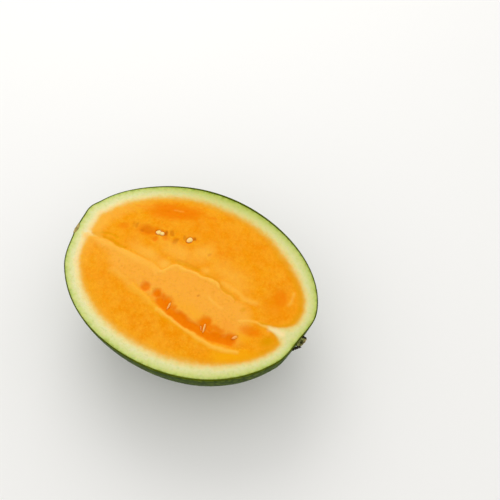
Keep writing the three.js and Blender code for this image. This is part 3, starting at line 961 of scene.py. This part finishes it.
def lump_part(middle, half_sizes, pattern):
    """A crumpled ball beside the stub."""
    walk = np.linspace(0, math.pi, LUMP_RINGS + 2)[1:-1]
    ball = lathed(-np.cos(walk), np.sin(walk), LUMP_SECTORS).reshape(-1, 3)
    ball *= 1 + grain(ball, *CRUMPLE, pattern)[:, None]
    rings = (ball * half_sizes + middle).reshape(LUMP_RINGS, LUMP_SECTORS, 3)
    return placed_part(rings, TIPS * half_sizes + middle, stem_directions, stem_foot)


shoulder = make_piece("stem_shoulder", [lump_part(*SHOULDER)])
collar = make_piece("stem_collar", [
    lump_part(*lump, pattern) for pattern, lump in enumerate(COLLAR_LUMPS, COLLAR_PATTERN)
])

# %% Stem materials


def make_stub():
    """Dried woody stem, torn off: matt olive outside, tan fibres at the torn end that are partly a painted
    highlight, and painted shade in its hollow and cupped end.
    """
    material, tree, place = new_material("dried woody stem")
    colour = spots(tree, linear("#6a6c30"), place, "#a3a862", size=1.8, shows=SOFTLY)
    # Tan at the torn end, partly a painted highlight
    colour = dyed(tree, colour, "torn_end", "#b49c68", share=0.9)
    colour = spots(tree, colour, place, "#2c2608", size=1.3, shows=PEAKS, share=0.8)
    # Painted shade, near black, in the hollow and the cupped end
    colour = dyed(tree, colour, "pit", "#1c1804")
    surface = add(tree, "BsdfPrincipled", {
        "Base Color": colour, "Roughness": 0.8, "IOR": 1.5, "Specular IOR Level": 0.2,
    })
    add(tree, "OutputMaterial", {"Surface": surface})
    return material


def make_collar():
    """Shrivelled black plant skin and painted crevice shade: nearly black, with a dull brown bloom."""
    material, tree, place = new_material("black stem collar and crevice shade")
    # Near black: dried collar, and painted shade in the crevices between stub and skin
    colour = spots(tree, linear("#140e04"), place, "#3a2e14", size=1.5, shows=SOFTLY)
    surface = add(tree, "BsdfPrincipled", {
        "Base Color": colour, "Roughness": 0.65, "IOR": 1.5, "Specular IOR Level": 0.2,
    })
    add(tree, "OutputMaterial", {"Surface": surface})
    return material


stem_wood = make_stub()
stand_in(stub, stem_wood)
stand_in(shoulder, stem_wood)
stand_in(collar, make_collar())

# %% [markdown]
# ## The blossom scar
#
# At the other end a small corky scar shows where the blossom sat, cut in half by the knife. A spot of
# colour would look painted on, because cork stands a little proud of the skin and is rough. So it is a
# thin patch that follows the skin: an outside and an inside, lofted along the rim.

# %% Shape of the scar
# The scar: angle of its middle round the fruit and half its width in degrees, how far it reaches
# down the skin and in over the cut edge, how far it stands proud of the skin and of the cut
SCAR_TURN, SCAR_HALF_TURN = 183.3, 3.6
SCAR_DROP, SCAR_REACH = 6.5, 3.2
SCAR_PROUD, SCAR_TOP = 0.7, 0.14
# How far its hidden side lies under the skin and under the cut
SCAR_ROOT = 0.4
# Its height above the cut and off the skin: middle share, then share, size and pattern of the grain
TOP_LEVEL, TOP_GRAIN = 0.7, (0.3, 1.3, 80.5)
SIDE_LEVEL, SIDE_GRAIN = 0.75, (0.5, 1.3, 90.5)
# The scar is closed this share of the way from its middle to its pointed ends
SCAR_CLOSED = 0.97
SCAR_STATIONS = 33
SCAR_STEPS = 10


def scar_section(turn, share):
    """A closed loop across the scar: out over the cut edge, down the skin, and back up inside it."""
    steps = np.linspace(0, 1, SCAR_STEPS)
    skin_points = fruit_surface(np.array([turn]), np.arcsin(SCAR_DROP * share * steps / DEPTH))[:, 0]
    _, (out, _, _) = skin_frame(turn, SCAR_DROP / 2)
    level = out * (1, 1, 0)
    over = skin_points[0] - (SCAR_REACH * share * (1 - steps[:-1]))[:, None] * level
    over[:, 2] = SCAR_TOP * share * (TOP_LEVEL + grain(over, *TOP_GRAIN))
    rise = SCAR_PROUD * share * (1 - steps ** 3) * (SIDE_LEVEL + grain(skin_points, *SIDE_GRAIN))
    under = np.concatenate([skin_points[::-1] - SCAR_ROOT * out, over[:1] - (0, 0, SCAR_ROOT)])
    return np.concatenate([over, skin_points + rise[:, None] * out, under])


scar_walk = np.linspace(-SCAR_CLOSED, SCAR_CLOSED, SCAR_STATIONS)
scar_turns = np.radians(SCAR_TURN + SCAR_HALF_TURN * scar_walk)
scar_shares = np.sqrt(1 - scar_walk ** 2)
scar_rings = np.stack([scar_section(turn, share) for turn, share in zip(scar_turns, scar_shares)])
scar = make_piece("blossom_scar", [closed_part(
    scar_rings,
    start=scar_rings[0].mean(axis=0),
    end=scar_rings[-1].mean(axis=0),
)])

# %% Scar material


def make_scar():
    """Cork that the fruit grew over a wound: dry, tan, with dark specks."""
    material, tree, place = new_material("corky scar")
    colour = spots(tree, linear("#9c8a4e"), place, "#c2b06e", size=1.8, shows=SOFTLY)
    colour = spots(tree, colour, place, "#3a3010", size=1.4, shows=PEAKS, share=0.9)
    surface = add(tree, "BsdfPrincipled", {
        "Base Color": colour, "Roughness": 0.85, "IOR": 1.5, "Specular IOR Level": 0.15,
    })
    add(tree, "OutputMaterial", {"Surface": surface})
    return material


stand_in(scar, make_scar())

# %% [markdown]
# ## Floor, light and camera
#
# The fruit lies on a plain pale floor. A white sky lights it evenly from all round, as a light tent
# does, and one large soft lamp behind it on the left gives the skin a gentle shadow side. The view
# transform is Standard, so a colour picked for the flesh comes out as that colour. The camera looks
# down at the angle of the photograph, and its lens and distance give the same perspective.

# %% Floor
FLOOR_SIZE = 6.0
bpy.ops.mesh.primitive_plane_add(size=FLOOR_SIZE, location=(0, 0, 0))
floor = bpy.context.active_object
floor.name = "floor"
floor_material, floor_tree, _ = new_material("matt white paper")
paper = add(floor_tree, "BsdfPrincipled", {
    "Base Color": linear("#f4f3f0"), "Roughness": 0.9, "Specular IOR Level": 0.1,
})
add(floor_tree, "OutputMaterial", {"Surface": paper})
floor.data.materials.append(floor_material)

# %% Light
SKY_STRENGTH = 0.875
# Place and size in metres, power in watts, and the place it shines at
LAMP_PLACE, LAMP_SIZE, LAMP_POWER = Vector((-0.55, 0.75, 1.0)), 0.9, 4.5
LAMP_AIM = Vector((0, 0, 0.05))


def set_down(thing, place, view):
    """Puts a lamp or a camera in the scene, facing along its view."""
    thing.location = place
    thing.rotation_mode = "QUATERNION"
    thing.rotation_quaternion = view.to_track_quat("-Z", "Y")
    bpy.context.scene.collection.objects.link(thing)


sky = bpy.data.worlds.new("light tent")
sky.use_nodes = True
sky_light = sky.node_tree.nodes["Background"].inputs
sky_light["Color"].default_value = (1, 1, 1, 1)
sky_light["Strength"].default_value = SKY_STRENGTH
bpy.context.scene.world = sky
bpy.context.scene.view_settings.view_transform = "Standard"

lamp = bpy.data.objects.new("soft lamp", bpy.data.lights.new("soft lamp", "AREA"))
lamp.data.size = LAMP_SIZE
lamp.data.energy = LAMP_POWER
set_down(lamp, LAMP_PLACE, LAMP_AIM - LAMP_PLACE)

# %% Camera
# Sensor in mm, focal length and picture in pixels, distance and aim in mm
SENSOR = 36.0
FOCAL_PIXELS = 700
FRAME_PIXELS = 500
CAMERA_AZIMUTH = math.radians(-27.76)
CAMERA_ELEVATION = math.radians(59.96)
CAMERA_DISTANCE = 684.0
LOOK_AT = Vector((39.5, 52.45, 0))

back = Vector((
    -math.sin(CAMERA_AZIMUTH) * math.cos(CAMERA_ELEVATION),
    -math.cos(CAMERA_AZIMUTH) * math.cos(CAMERA_ELEVATION),
    math.sin(CAMERA_ELEVATION),
))
camera = bpy.data.objects.new("camera", bpy.data.cameras.new("camera"))
camera.data.sensor_width = SENSOR
camera.data.lens = SENSOR * FOCAL_PIXELS / FRAME_PIXELS
set_down(camera, (LOOK_AT + Vector(FACE_MIDDLE) + back * CAMERA_DISTANCE) * MM, -back)
bpy.context.scene.camera = camera
